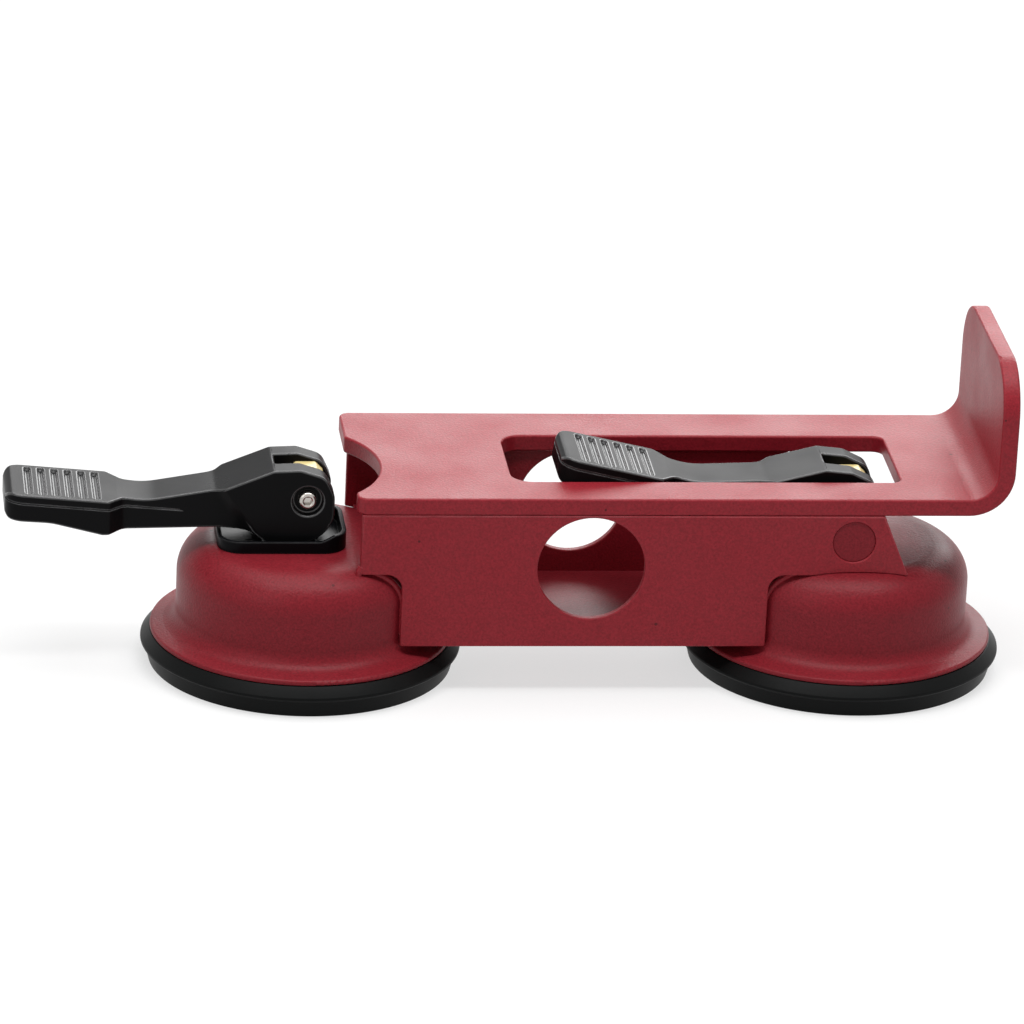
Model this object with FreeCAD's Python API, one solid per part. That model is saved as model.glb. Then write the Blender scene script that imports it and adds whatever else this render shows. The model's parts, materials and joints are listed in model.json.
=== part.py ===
import FreeCAD, Part
import math
import os

# Floor tile suction lifter: two lever operated vacuum cups under a welded steel frame.
# Millimetres, +Z up, +X along the frame towards the upstand, floor at Z = 0.
# The origin lies on the floor, midway along and across the whole tool.

# Cups
cup_pitch = 204.5
pad_radius = 60.0
pad_base_radius = 57.0
pad_edge_height = 7.5
pad_height = 12.0
pad_bevel = 3.4
pad_lip_width = 7.0
pad_collar_height = 3.0
pad_collar_wall = 3.2
membrane_thickness = 3.0
membrane_rest_gap = 0.5
housing_height = 48.8
housing_radius = 47.0
housing_wall = 2.5
shoulder_radius = 14.0
foot_radius = 6.0
flange_radius = 56.5
flange_edge = 1.8
flange_slope_rise = 2.2

# Pull gear inside each cup
stroke = 7.0
insert_radius = 14.5
insert_thickness = 3.0
insert_boss_radius = 7.0
insert_boss_height = 5.0
insert_skin = 1.0
stud_radius = 3.0
jam_nut_flats = 10.0
jam_nut_height = 4.0
bush_radius = 6.0
bush_flange_radius = 10.0
bush_flange_thickness = 1.5
spring_wire = 2.2
spring_mean_radius = 12.0
spring_turns = 5.0

# Tray under the cam
tray_floor = 1.8
tray_wall = 1.8
tray_rim_height = 2.8
tray_back_height = 5.0
tray_back_length = 5.0
tray_left = 33.0
tray_right = 15.0
tray_half_width = 18.0
tray_corner = 9.0

# Lever, measured from its pivot with the lever pressed down
lever_reach = 112.0
lever_raise_right = 8.0
lever_travel = 90.0
cam_high = 17.0
hub_half_width = 13.25
hub_back = 15.0
hub_start = 27.5
hub_taper = 5.0
hub_root = 12.0
hub_crest = 13.0
hub_slant = 0.69
neck_half_width = 9.75
grip_half_width = 16.0
grip_length = 42.0
grip_corner = 7.0
groove_count = 6
groove_pitch = 5.0
groove_width = 2.1
groove_depth = 1.2
groove_first = 9.0
groove_half_length = 13.6
hub_slot_back = 12.0
recess_depth = 3.0
bolt_recess_radius = 5.7
nut_recess_radius = 6.2
bolt_radius = 3.0
bolt_head_radius = 3.7
bolt_socket_flats = 3.0
bolt_socket_depth = 1.8
nut_flats = 10.0
nut_height = 4.0
yoke_width = 9.0
yoke_top = 9.3
yoke_half_length = 6.5
yoke_chamfer = 2.8
yoke_drop = 9.5

# Frame
side_plate = 3.0
side_outer_y = 35.5
side_bottom = 19.0
side_left = 84.0
side_step = 68.3
side_notch_drop = 1.3
side_notch_corner = 6.0
front_past_cup_top = 8.3
front_past_cup_bottom = 18.3
hand_hole_radius = 20.0
hand_hole_x = 1.7
hand_hole_margin = 1.0
plug_radius = 8.0
plug_before_cup = 2.7
plug_sunk = 0.6
plug_thickness = 2.0
top_plate_thickness = 6.5
top_plate_over_cup = 22.4
top_plate_left = 85.8
top_plate_rear_overhang = 19.0
top_plate_corner = 4.0
notch_chord = 57.0
notch_depth = 11.0
slot_left = 26.8
slot_right = 119.1
slot_front_y = 17.0
slot_back_y = 30.5
slot_left_corner = 8.0
slot_right_corner = 4.0
upstand_outer = 158.5
upstand_height = 50.3
upstand_bend = 10.0
upstand_corner = 20.0
web_thickness = 3.0

# Clearances
press_gap = 0.05
slide_gap = 0.08
seat_gap = 0.1
cam_gap = 0.2
side_gap = 0.3

# Worked out from the sizes above
cam_rate = stroke / math.radians(lever_travel)
right_end = max(upstand_outer, cup_pitch / 2 + pad_radius)
mid_x = (lever_reach + cup_pitch / 2 - right_end) / 2
tray_top = housing_height + tray_floor
cam_low = cam_high - stroke
pivot_down_z = tray_top + cam_gap + cam_high
pivot_up_z = pivot_down_z - stroke
housing_bore = bush_radius + press_gap
housing_inner_top = housing_height - housing_wall
housing_inner_radius = housing_radius - housing_wall
side_inner_y = side_outer_y - side_plate
top_plate_bottom = housing_height + top_plate_over_cup
top_plate_top = top_plate_bottom + top_plate_thickness
upstand_top = top_plate_top + upstand_height
side_notch_z = housing_height - side_notch_drop
front_right_top = cup_pitch / 2 + front_past_cup_top
front_right_bottom = cup_pitch / 2 + front_past_cup_bottom
plug_x = cup_pitch / 2 - plug_before_cup
hand_hole_z = top_plate_bottom - hand_hole_margin - hand_hole_radius
yoke_slot = yoke_width + 2 * side_gap
recess_floor = hub_half_width - recess_depth


def xz(y):
    return lambda u, v: FreeCAD.Vector(u, y, v)


def xy(z):
    return lambda u, v: FreeCAD.Vector(u, v, z)


def yz(x):
    return lambda u, v: FreeCAD.Vector(x, u, v)


def corner_points(before, corner, after):
    # the two tangent points and the middle of the arc that rounds one corner
    u, v, radius = corner
    to_before = FreeCAD.Vector(before[0] - u, before[1] - v, 0).normalize()
    to_after = FreeCAD.Vector(after[0] - u, after[1] - v, 0).normalize()
    half = to_before.getAngle(to_after) / 2
    reach = radius / math.tan(half)
    inwards = (to_before + to_after).normalize() * (radius / math.sin(half) - radius)
    start = (u + to_before.x * reach, v + to_before.y * reach)
    middle = (u + inwards.x, v + inwards.y)
    end = (u + to_after.x * reach, v + to_after.y * reach)
    return start, middle, end


def outline(items, place):
    # a tuple (u, v, radius) is a rounded corner, a list of points is a smooth curve
    edges = []
    ends = []
    for number, item in enumerate(items):
        if isinstance(item, list):
            curve = Part.BSplineCurve()
            curve.interpolate([place(*point) for point in item])
            edges.append(curve.toShape())
            ends.append((item[0], item[-1]))
            continue
        previous = items[number - 1]
        following = items[(number + 1) % len(items)]
        before = previous[-1] if isinstance(previous, list) else previous
        after = following[0] if isinstance(following, list) else following
        if item[2] == 0:
            edges.append(None)
            ends.append((item[:2], item[:2]))
            continue
        start, middle, end = corner_points(before, item, after)
        edges.append(Part.Arc(place(*start), place(*middle), place(*end)).toShape())
        ends.append((start, end))
    loop = []
    for number, edge in enumerate(edges):
        if edge is not None:
            loop.append(edge)
        here = place(*ends[number][1])
        there = place(*ends[(number + 1) % len(ends)][0])
        if here.distanceToPoint(there) > 1e-6:
            loop.append(Part.LineSegment(here, there).toShape())
    return Part.Face(Part.Wire(loop))


def prism_y(items, low, high):
    return outline(items, xz(low)).extrude(FreeCAD.Vector(0, high - low, 0))


def prism_z(items, low, high):
    return outline(items, xy(low)).extrude(FreeCAD.Vector(0, 0, high - low))


def prism_x(items, low, high):
    return outline(items, yz(low)).extrude(FreeCAD.Vector(high - low, 0, 0))


def turned(items):
    # a profile of radius and height, turned about the cup's axis
    return outline(items, xz(0)).revolve(FreeCAD.Vector(0, 0, 0), FreeCAD.Vector(0, 0, 1), 360)


def rod_z(radius, low, high):
    return Part.makeCylinder(radius, high - low, FreeCAD.Vector(0, 0, low))


def rod_y(radius, low, high, x=0.0, z=0.0):
    return Part.makeCylinder(radius, high - low, FreeCAD.Vector(x, low, z), FreeCAD.Vector(0, 1, 0))


def rectangle(left, right, low, high, radius):
    return [(left, low, radius), (right, low, radius), (right, high, radius), (left, high, radius)]


def hexagon(flats):
    corner = flats / math.sqrt(3)
    turns = [math.radians(60 * step) for step in range(6)]
    return [(corner * math.cos(turn), corner * math.sin(turn), 0) for turn in turns]


def cup_envelope():
    # the outside of a cup, grown by the seat gap, that trims the plates welded to it
    outer = housing_radius + seat_gap
    rim = flange_radius + seat_gap
    top = housing_height + seat_gap
    rim_top = pad_height + flange_edge + seat_gap
    profile = [(0, 0, 0), (rim, 0, 0), (rim, rim_top, 0),
               (outer, rim_top + flange_slope_rise, foot_radius - seat_gap),
               (outer, top, shoulder_radius + seat_gap), (0, top, 0)]
    return turned(profile)


def cup_housing():
    rim_top = pad_height + flange_edge
    profile = [(housing_inner_radius, pad_height, 0), (flange_radius, pad_height, 0.5),
               (flange_radius, rim_top, 0.9),
               (housing_radius, rim_top + flange_slope_rise, foot_radius),
               (housing_radius, housing_height, shoulder_radius),
               (housing_bore, housing_height, 0), (housing_bore, housing_inner_top, 0),
               (housing_inner_radius, housing_inner_top, shoulder_radius - housing_wall)]
    return turned(profile)


def rubber_pad(lift):
    # the membrane is drawn up by the lift, the rim stays on the floor
    under = membrane_rest_gap + lift
    over = under + membrane_thickness
    lip_inner = pad_base_radius - pad_lip_width
    collar = housing_inner_radius - seat_gap
    collar_inner = collar - pad_collar_wall
    profile = [(0, under, 0), (insert_radius, under, 10), (collar_inner, membrane_rest_gap, 6),
               (lip_inner, 0, 0), (pad_base_radius, 0, 1.0), (pad_radius, pad_edge_height, 0),
               (pad_radius - pad_bevel, pad_height, 0.6), (collar, pad_height, 0),
               (collar, pad_height + pad_collar_height, 0.8),
               (collar_inner, pad_height + pad_collar_height, 0.8),
               (collar_inner, membrane_rest_gap + membrane_thickness + 1.0, 1.5),
               (insert_radius + 2.0, over, 8), (0, over, 0)]
    return turned(profile)


def pad_insert(base):
    boss_top = base + insert_thickness + insert_boss_height
    profile = [(0, base, 0), (insert_radius, base, 0.5), (insert_radius, base + insert_thickness, 0.5),
               (insert_boss_radius, base + insert_thickness, 1.0), (insert_boss_radius, boss_top, 0.6),
               (stud_radius + press_gap, boss_top, 0), (stud_radius + press_gap, base + insert_skin, 0),
               (0, base + insert_skin, 0)]
    return turned(profile)


def pull_stud(base, top):
    low = base + insert_skin + press_gap
    chamfer = 0.6
    profile = [(0, low, 0), (stud_radius - chamfer, low, 0), (stud_radius, low + chamfer, 0),
               (stud_radius, top - chamfer, 0), (stud_radius - chamfer, top, 0), (0, top, 0)]
    return turned(profile)


def stud_jam_nut(base):
    nut = prism_z(hexagon(jam_nut_flats), base, base + jam_nut_height)
    crown = [(0, base, 0), (jam_nut_flats / 2, base, 0), (jam_nut_flats * 0.6, base + 0.6, 0),
             (jam_nut_flats * 0.6, base + jam_nut_height - 0.6, 0),
             (jam_nut_flats / 2, base + jam_nut_height, 0), (0, base + jam_nut_height, 0)]
    bore = rod_z(stud_radius + press_gap, base - 1, base + jam_nut_height + 1)
    return nut.common(turned(crown)).cut(bore)


def guide_bush():
    bore = stud_radius + slide_gap
    profile = [(bore, housing_inner_top - bush_flange_thickness, 0.3),
               (bush_flange_radius, housing_inner_top - bush_flange_thickness, 0.4),
               (bush_flange_radius, housing_inner_top, 0), (bush_radius, housing_inner_top, 0),
               (bush_radius, housing_height, 0), (bore, housing_height, 0.3)]
    return turned(profile)


def release_spring(low, high):
    # square wire, its last turns reach the insert below and the housing above
    height = high - low - spring_wire - 2 * press_gap
    base = low + press_gap + spring_wire / 2
    path = Part.makeHelix(height / spring_turns, height, spring_mean_radius)
    path.translate(FreeCAD.Vector(0, 0, base))
    half = spring_wire / 2
    section = outline(rectangle(spring_mean_radius - half, spring_mean_radius + half,
                                base - half, base + half, 0), xz(0))
    return Part.Wire(path.Edges).makePipeShell([section.OuterWire], True, True)


def lever_tray():
    plan = rectangle(-tray_left, tray_right, -tray_half_width, tray_half_width, tray_corner)
    inner = rectangle(-tray_left + tray_wall, tray_right - tray_wall, -tray_half_width + tray_wall,
                      tray_half_width - tray_wall, tray_corner - tray_wall)
    rim_z = tray_top + tray_rim_height
    back_z = tray_top + tray_back_height
    block = prism_z(plan, housing_height, back_z)
    side = [(-tray_left - 1, housing_height - 1, 0), (tray_right + 1, housing_height - 1, 0),
            (tray_right + 1, back_z, 0), (tray_right - tray_back_length, back_z, 2.0),
            (tray_right - 2 * tray_back_length, rim_z, 4.0), (-tray_left - 1, rim_z, 0)]
    tray = block.common(prism_y(side, -tray_half_width - 1, tray_half_width + 1))
    tray = tray.cut(prism_z(inner, tray_top, back_z + 1))
    return tray.cut(rod_z(stud_radius + 1.0, housing_height - 1, tray_top + 1))


def cam_curve():
    # the distance from the pivot to the tray falls evenly as the lever turns, so the cam is an involute
    points = []
    for step in range(7):
        turn = math.radians(lever_travel) * step / 6
        rise = cam_high - cam_rate * turn
        points.append((rise * math.sin(turn) - cam_rate * math.cos(turn),
                       -rise * math.cos(turn) - cam_rate * math.sin(turn)))
    return points[::-1]


def grip_top(x):
    # height of the grip's ribbed face, which falls towards the neck
    return 3.8 - 0.08 * (x + lever_reach)


def lever_side():
    grip_end = -lever_reach + grip_length
    return [(-lever_reach, grip_top(-lever_reach), 3.0), (grip_end, grip_top(grip_end), 6.0),
            (grip_end + 10.0, -0.9, 30.0), (-33.5, 3.6, 8.0), (-hub_crest, 11.9, 4.0), (-3.0, 12.3, 5.0),
            (cam_low - 3.5, 9.3, 6.0), (cam_low, 2.0, 6.0), cam_curve(), (-hub_back, -cam_high, 2.0),
            (-20.0, -12.8, 4.0), (-33.0, -11.6, 12.0), (grip_end + 4.0, -12.4, 0),
            (grip_end - 6.0, -12.6, 2.0), (-lever_reach + 17.0, -7.9, 25.0), (-lever_reach, -6.9, 2.5)]


def both_sides(upper):
    return upper + [(x, -y, radius) for x, y, radius in upper[::-1]]


def lever():
    body = prism_y(lever_side(), -grip_half_width - 1, grip_half_width + 1)
    grip_end = -lever_reach + grip_length
    grip_and_neck = both_sides([(-lever_reach, grip_half_width, grip_corner),
                                (grip_end - 3.5, grip_half_width, 2.5),
                                (grip_end + 2.0, neck_half_width, 4.0), (hub_back, neck_half_width, 0)])
    hub = both_sides([(-hub_start - hub_root, neck_half_width, 0),
                      (-hub_start - hub_taper, neck_half_width, 8.0),
                      (-hub_start, hub_half_width, 3.0), (hub_back, hub_half_width, 0)])
    # the hub starts farther out at the top than at the bottom, so its plan is pushed along a slant
    low = -cam_high - 1
    slanted = outline(hub, lambda u, v: FreeCAD.Vector(u - hub_slant * low, v, low))
    slanted = slanted.extrude(FreeCAD.Vector(-2 * hub_slant * cam_high, 0, 2 * cam_high))
    body = body.common(prism_z(grip_and_neck, low, cam_high).fuse(slanted))
    slot = prism_z(rectangle(-hub_slot_back, hub_back + 1, -yoke_slot / 2, yoke_slot / 2, 0.8),
                   low, cam_high)
    body = body.cut(slot)
    for number in range(groove_count):
        x = -lever_reach + groove_first + number * groove_pitch
        half = groove_width / 2
        groove = rectangle(x - half, x + half, -groove_half_length, groove_half_length, half * 0.98)
        body = body.cut(prism_z(groove, grip_top(x) - groove_depth, cam_high))
    body = body.cut(rod_y(bolt_radius + press_gap, -hub_half_width, hub_half_width))
    body = body.cut(rod_y(bolt_recess_radius, -hub_half_width - 1, -recess_floor))
    return body.cut(rod_y(nut_recess_radius, recess_floor, hub_half_width + 1))


def pivot_bolt():
    head = rod_y(bolt_head_radius, -hub_half_width, -recess_floor)
    head = head.makeChamfer(0.5, [head.Edges[i] for i in (0, 2) if head.Edges[i].BoundBox.YMax
                                  < -hub_half_width + 0.01])
    shank = rod_y(bolt_radius, -recess_floor, hub_half_width + 1.2)
    socket = outline(hexagon(bolt_socket_flats), xz(-hub_half_width - 1))
    socket = socket.extrude(FreeCAD.Vector(0, bolt_socket_depth + 1, 0))
    return head.fuse(shank).cut(socket)


def pivot_nut():
    nut = outline(hexagon(nut_flats), xz(recess_floor)).extrude(FreeCAD.Vector(0, nut_height, 0))
    return nut.cut(rod_y(bolt_radius + press_gap, recess_floor - 1, recess_floor + nut_height + 1))


def yoke():
    flat = yoke_half_length - yoke_chamfer
    shoulder = yoke_top - yoke_chamfer
    side = [(-yoke_half_length, -yoke_drop, 0.8), (yoke_half_length, -yoke_drop, 0.8),
            (yoke_half_length, shoulder, 1.0), (flat, yoke_top, 1.0), (-flat, yoke_top, 1.0),
            (-yoke_half_length, shoulder, 1.0)]
    body = prism_y(side, -yoke_width / 2, yoke_width / 2)
    body = body.cut(rod_y(bolt_radius + slide_gap, -yoke_width, yoke_width))
    return body.cut(rod_z(stud_radius + press_gap, -yoke_drop - 1, -bolt_radius - 1.4))


def side_face(right_top, right_bottom):
    return [(-side_left, side_notch_z, 0), (-side_step, side_notch_z, side_notch_corner),
            (-side_step, side_bottom, 0.8), (side_step, side_bottom, 0.8),
            (side_step, side_notch_z, side_notch_corner), (right_bottom, side_notch_z, 0),
            (right_top, top_plate_bottom, 0), (-side_left, top_plate_bottom, 0)]


def side_plate_shape(low, right_top, right_bottom):
    plate = prism_y(side_face(right_top, right_bottom), low, low + side_plate)
    plate = plate.cut(rod_y(hand_hole_radius, low - 1, low + side_plate + 1, hand_hole_x, hand_hole_z))
    return trim_to_cups(plate)


def front_side_plate():
    # it reaches past the right lever, whose bolt goes in through the hole that the plug closes
    low = -side_outer_y
    plate = side_plate_shape(low, front_right_top, front_right_bottom)
    return plate.cut(rod_y(plug_radius, low - 1, low + side_plate + 1, plug_x, pivot_up_z))


def rear_side_plate():
    return side_plate_shape(side_inner_y, side_left, side_left)


def trim_to_cups(plate):
    for x in (-cup_pitch / 2, cup_pitch / 2):
        envelope = cup_envelope()
        envelope.translate(FreeCAD.Vector(x, 0, 0))
        plate = plate.cut(envelope)
    return plate


def access_plug():
    low = -side_outer_y + plug_sunk
    return rod_y(plug_radius - press_gap, low, low + plug_thickness, plug_x, pivot_up_z)


def bottom_web():
    plate = prism_z(rectangle(-side_step, side_step, -side_inner_y, side_inner_y, 0),
                    side_bottom, side_bottom + web_thickness)
    return trim_to_cups(plate)


def top_plate():
    front = -side_outer_y
    rear = side_outer_y + top_plate_rear_overhang
    inner = upstand_outer - top_plate_thickness
    bent = [(-top_plate_left, top_plate_bottom, 0),
            (upstand_outer, top_plate_bottom, upstand_bend + top_plate_thickness),
            (upstand_outer, upstand_top, 1.0), (inner, upstand_top, 1.0),
            (inner, top_plate_top, upstand_bend), (-top_plate_left, top_plate_top, 0)]
    plate = prism_y(bent, front, rear)
    face = [(front, top_plate_bottom - 1, 0), (rear, top_plate_bottom - 1, 0),
            (rear, upstand_top, upstand_corner), (front, upstand_top, upstand_corner)]
    plate = plate.common(prism_x(face, -top_plate_left - 1, upstand_outer + 1))
    plan = [(-top_plate_left, front, top_plate_corner), (upstand_outer + 1, front, 0),
            (upstand_outer + 1, rear, 0), (-top_plate_left, rear, top_plate_corner)]
    plate = plate.common(prism_z(plan, top_plate_bottom - 1, upstand_top + 1))
    slot = [(-slot_left, -slot_front_y, slot_left_corner), (slot_right, -slot_front_y, slot_right_corner),
            (slot_right, slot_back_y, slot_right_corner), (-slot_left, slot_back_y, slot_left_corner)]
    plate = plate.cut(prism_z(slot, top_plate_bottom - 1, top_plate_top + 1))
    notch_radius = (notch_chord ** 2 / 4 + notch_depth ** 2) / (2 * notch_depth)
    notch = rod_z(notch_radius, top_plate_bottom - 1, top_plate_top + 1)
    notch.translate(FreeCAD.Vector(-top_plate_left + notch_depth - notch_radius, 0, 0))
    return plate.cut(notch)


def frame_parts():
    return {"top_plate": top_plate(),
            "front_side_plate": front_side_plate(),
            "rear_side_plate": rear_side_plate(),
            "bottom_web": bottom_web(),
            "access_plug": access_plug()}


def cup_parts(side, x, raised):
    # raised is the angle at which the lever stands above its pressed down place
    drop = cam_rate * math.radians(raised)
    pivot_z = pivot_down_z - drop
    lift = stroke - drop
    insert_base = membrane_rest_gap + lift + membrane_thickness
    insert_top = insert_base + insert_thickness
    stud_top = pivot_z - bolt_radius - 1.5
    fixed = {"cup_housing": cup_housing(), "rubber_pad": rubber_pad(lift), "guide_bush": guide_bush(),
             "release_spring": release_spring(insert_top, housing_inner_top), "lever_tray": lever_tray(),
             "pad_insert": pad_insert(insert_base), "pull_stud": pull_stud(insert_base, stud_top),
             "stud_jam_nut": stud_jam_nut(insert_top + insert_boss_height)}
    at_pivot = {"yoke": yoke()}
    for name, shape in (("lever", lever()), ("pivot_bolt", pivot_bolt()), ("pivot_nut", pivot_nut())):
        shape.rotate(FreeCAD.Vector(0, 0, 0), FreeCAD.Vector(0, 1, 0), raised)
        at_pivot[name] = shape
    for shape in at_pivot.values():
        shape.translate(FreeCAD.Vector(0, 0, pivot_z))
    parts = {}
    for name, shape in {**fixed, **at_pivot}.items():
        shape.translate(FreeCAD.Vector(x, 0, 0))
        parts[side + "_" + name] = shape
    return parts


os.makedirs("parts", exist_ok=True)
pieces = frame_parts()
pieces.update(cup_parts("left", -cup_pitch / 2, 0.0))
pieces.update(cup_parts("right", cup_pitch / 2, lever_raise_right))
for node, shape in pieces.items():
    shape.translate(FreeCAD.Vector(mid_x, 0, 0))
    solids = shape.Solids
    print(node, len(solids), shape.isValid(), round(shape.Volume, 1))
    if len(solids) == 1:
        shape = solids[0]
    shape.exportStep("parts/" + node + ".step")
print("middle of the frame at x", round(mid_x, 3), "pivots at", round(pivot_down_z, 3),
      round(pivot_down_z - cam_rate * math.radians(lever_raise_right), 3), "cam rate", cam_rate)
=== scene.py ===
# %% [markdown]
# # Floor tile suction lifter
# A hand tool for laying floor tiles. Two rubber cups hang under a welded steel frame, and a black cam
# lever on each cup draws the middle of its rubber up to hold the tile by vacuum.
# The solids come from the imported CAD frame. This script dresses them: edges that a maker would round,
# bolts, the soft rubber, the springs, the welds, the finishes, the light and the camera.

# %% Load the frame
import json
import math

import bmesh
import bpy
from mathutils import Matrix, Vector

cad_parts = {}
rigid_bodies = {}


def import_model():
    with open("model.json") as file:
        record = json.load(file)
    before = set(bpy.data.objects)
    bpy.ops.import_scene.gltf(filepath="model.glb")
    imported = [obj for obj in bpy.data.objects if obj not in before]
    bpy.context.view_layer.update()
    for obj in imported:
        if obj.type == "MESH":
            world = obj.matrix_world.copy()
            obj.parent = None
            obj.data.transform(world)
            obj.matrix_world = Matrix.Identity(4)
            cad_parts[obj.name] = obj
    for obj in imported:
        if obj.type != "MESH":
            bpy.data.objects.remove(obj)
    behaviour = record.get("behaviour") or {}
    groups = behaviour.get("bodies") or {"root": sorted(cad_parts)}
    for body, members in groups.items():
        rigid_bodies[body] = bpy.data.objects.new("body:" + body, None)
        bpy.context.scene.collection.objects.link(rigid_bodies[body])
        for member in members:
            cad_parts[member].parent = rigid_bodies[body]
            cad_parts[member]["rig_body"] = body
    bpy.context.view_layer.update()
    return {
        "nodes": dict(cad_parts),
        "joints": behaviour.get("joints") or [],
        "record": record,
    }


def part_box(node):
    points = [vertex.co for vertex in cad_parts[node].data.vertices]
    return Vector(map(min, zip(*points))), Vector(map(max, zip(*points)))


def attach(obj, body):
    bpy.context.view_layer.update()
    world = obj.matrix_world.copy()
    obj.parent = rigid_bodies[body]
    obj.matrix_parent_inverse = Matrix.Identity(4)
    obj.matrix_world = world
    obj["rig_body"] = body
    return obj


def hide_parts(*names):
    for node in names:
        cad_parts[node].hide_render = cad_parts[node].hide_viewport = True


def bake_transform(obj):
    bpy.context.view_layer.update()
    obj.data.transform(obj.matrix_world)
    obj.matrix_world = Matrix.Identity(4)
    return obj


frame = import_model()
MM = 0.001
SIDES = ("left", "right")

# %% [markdown]
# ## Where things are
# Every place comes from the frame, so the looks follow the CAD when it changes. The middle of a turned
# piece's box is its axis, and the lever's hinge point is in the joint list.

# %% Places read from the frame
cup_x = {side: sum(corner.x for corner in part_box(side + "_cup_housing")) / 2 for side in SIDES}
hinges = {joint["child"]: joint for joint in frame["joints"] if joint["type"] == "hinge"}
pivots = {side: Vector(hinges[side + "_lever_arm"]["pos_m"]) for side in SIDES}
print("cup axes in mm", {side: round(x / MM, 2) for side, x in cup_x.items()})

# %% [markdown]
# ## Effects that several finishes share
# Powder coat, moulded plastic and rubber all have a grain that is finer than anything worth modelling.
# A node group holds it once, and each material sets its own size. It puts out a height for a Bump node
# and a slow mottle that makes the gloss a little uneven, as on any real surface.

# %% Shader group helpers
def group_with(name, numbers, outputs):
    """An empty shader node group with number inputs and number outputs."""
    group = bpy.data.node_groups.new(name, "ShaderNodeTree")
    for label, value in numbers.items():
        group.interface.new_socket(label, in_out="INPUT", socket_type="NodeSocketFloat").default_value = value
    for label in outputs:
        group.interface.new_socket(label, in_out="OUTPUT", socket_type="NodeSocketFloat")
    return group, group.nodes.new("NodeGroupInput"), group.nodes.new("NodeGroupOutput")


def add_node(tree, kind, settings=None, **values):
    """A new node. Its inputs are filled or linked by name, or by number as i0, i1 and so on."""
    node = tree.nodes.new(kind)
    for label, value in (settings or {}).items():
        setattr(node, label, value)
    for label, value in values.items():
        numbered = label[0] == "i" and label[1:].isdigit()
        socket = node.inputs[int(label[1:]) if numbered else label.replace("_", " ")]
        if isinstance(value, bpy.types.NodeSocket):
            tree.links.new(value, socket)
        else:
            socket.default_value = value
    return node


def calculate(tree, operation, *values):
    """The output of a Math node."""
    return add_node(tree, "ShaderNodeMath", {"operation": operation},
                    **{"i%d" % number: value for number, value in enumerate(values)}).outputs[0]


def ramp(tree, value, low, high, **ends):
    """0 to 1, or from To_Min to To_Max, while the value goes from low to high, and flat outside."""
    return add_node(tree, "ShaderNodeMapRange", {"clamp": True}, Value=value, From_Min=low, From_Max=high,
                    **ends).outputs["Result"]


def object_noise(tree, scale, **sizes):
    """Noise that sticks to the piece, because it reads Object coordinates."""
    place = add_node(tree, "ShaderNodeTexCoord").outputs["Object"]
    return add_node(tree, "ShaderNodeTexNoise", Vector=place, Scale=scale, **sizes).outputs["Fac"]


# %% Fine grain
grain, grain_in, grain_out = group_with("FineGrain", {"Size": 800.0, "Mottle Size": 40.0},
                                        ["Height", "Mottle"])
fine = object_noise(grain, grain_in.outputs["Size"], Detail=2.0, Roughness=0.55)
slow = object_noise(grain, grain_in.outputs["Mottle Size"], Detail=3.0)
grain.links.new(fine, grain_out.inputs["Height"])
grain.links.new(slow, grain_out.inputs["Mottle"])
print("grain group with", len(grain.nodes), "nodes")

# %% [markdown]
# Dust settles on what faces up, in patches. Small dark specks are grit caught in the coat: a few cells of
# a Voronoi pattern, picked by their random value, with a dot at the middle of each. Both could be painted
# as a picture, but a pattern on Object coordinates needs no UV map and fits every piece.

# %% Dust and specks
UPWARD_FROM, UPWARD_TO = 0.2, 1.0    # the normal's Z where dust starts to lie and where it lies fully
PATCHES_FROM, PATCHES_TO = 0.35, 0.75
dust, dust_in, dust_out = group_with("SettledDust", {"Amount": 0.2, "Patch Size": 60.0}, ["Mask"])
plain = add_node(dust, "ShaderNodeNewGeometry").outputs["Normal"]
facing_up = add_node(dust, "ShaderNodeSeparateXYZ", Vector=plain).outputs["Z"]
upward = ramp(dust, facing_up, UPWARD_FROM, UPWARD_TO)
patches = object_noise(dust, dust_in.outputs["Patch Size"], Detail=6.0, Roughness=0.7)
patchy = ramp(dust, patches, PATCHES_FROM, PATCHES_TO)
settled = calculate(dust, "MULTIPLY", upward, patchy)
dust.links.new(calculate(dust, "MULTIPLY", settled, dust_in.outputs["Amount"]), dust_out.inputs["Mask"])

specks, specks_in, specks_out = group_with("DarkSpecks", {"Size": 190.0, "Share": 0.02, "Dot": 0.12},
                                           ["Mask"])
place = add_node(specks, "ShaderNodeTexCoord").outputs["Object"]
cells = add_node(specks, "ShaderNodeTexVoronoi", Vector=place, Scale=specks_in.outputs["Size"]).outputs
lot = add_node(specks, "ShaderNodeSeparateColor", Color=cells["Color"]).outputs["Red"]
chosen = calculate(specks, "LESS_THAN", lot, specks_in.outputs["Share"])
dot = calculate(specks, "LESS_THAN", cells["Distance"], specks_in.outputs["Dot"])
specks.links.new(calculate(specks, "MULTIPLY", chosen, dot), specks_out.inputs["Mask"])
print("dust and speck groups with", len(dust.nodes), "and", len(specks.nodes), "nodes")
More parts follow.
